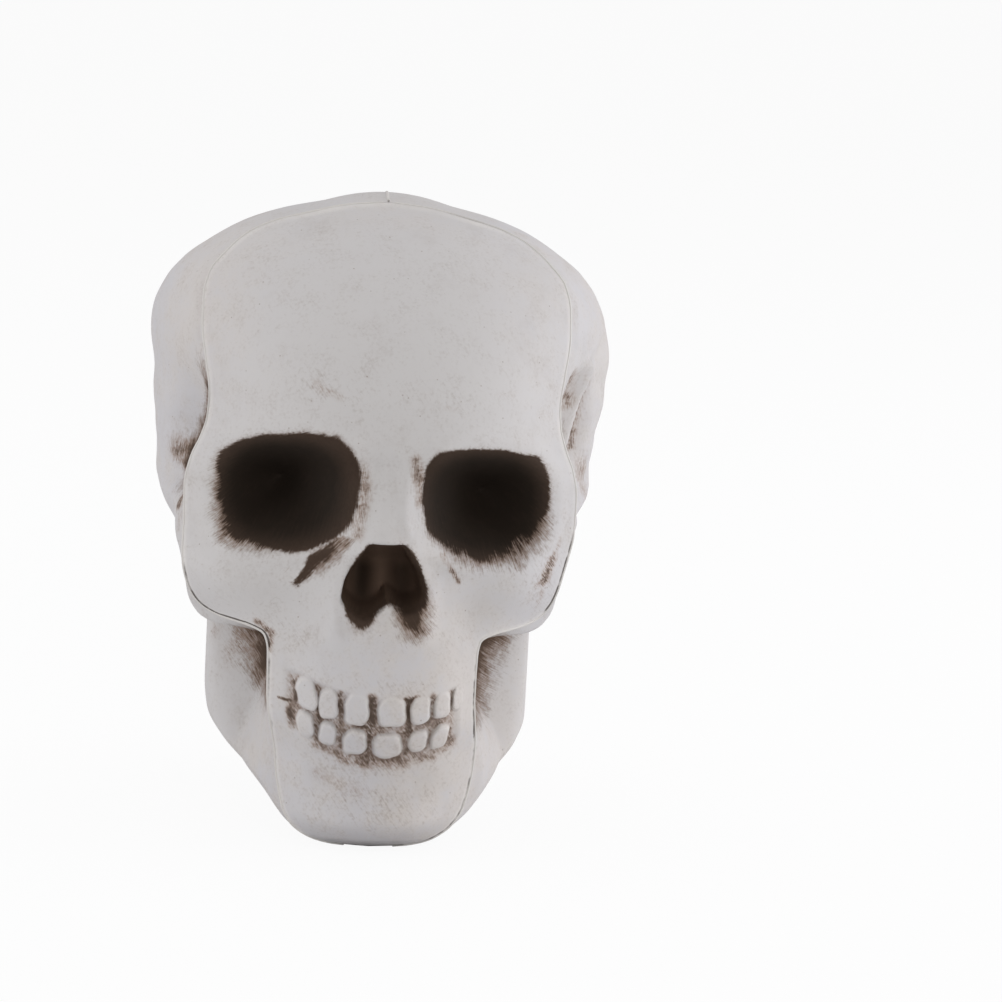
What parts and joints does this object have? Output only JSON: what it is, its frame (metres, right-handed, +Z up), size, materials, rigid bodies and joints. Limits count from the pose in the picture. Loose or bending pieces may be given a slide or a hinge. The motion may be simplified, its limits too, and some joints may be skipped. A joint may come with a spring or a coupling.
{
  "type": "skull ornament",
  "caption": "Hollow plastic skull with clenched teeth and a dark wash in its sockets, glued up from a moulded face and rear halves, to stand on a table as a Halloween decoration.",
  "frame": {"origin": "on the table, under the middle of the skull's width and depth", "axes": "+Z up, the face looks along -Y, +X is the skull's own left"},
  "size_m": [0.1002, 0.1158, 0.1346],
  "materials": {
    "bone_plastic": "matt grey bone with a dark brown wash"
  },
  "bodies": {
    "root": {"face_shell": "bone_plastic", "left_rear_shell": "bone_plastic", "right_rear_shell": "bone_plastic"}
  },
  "joints": []
}
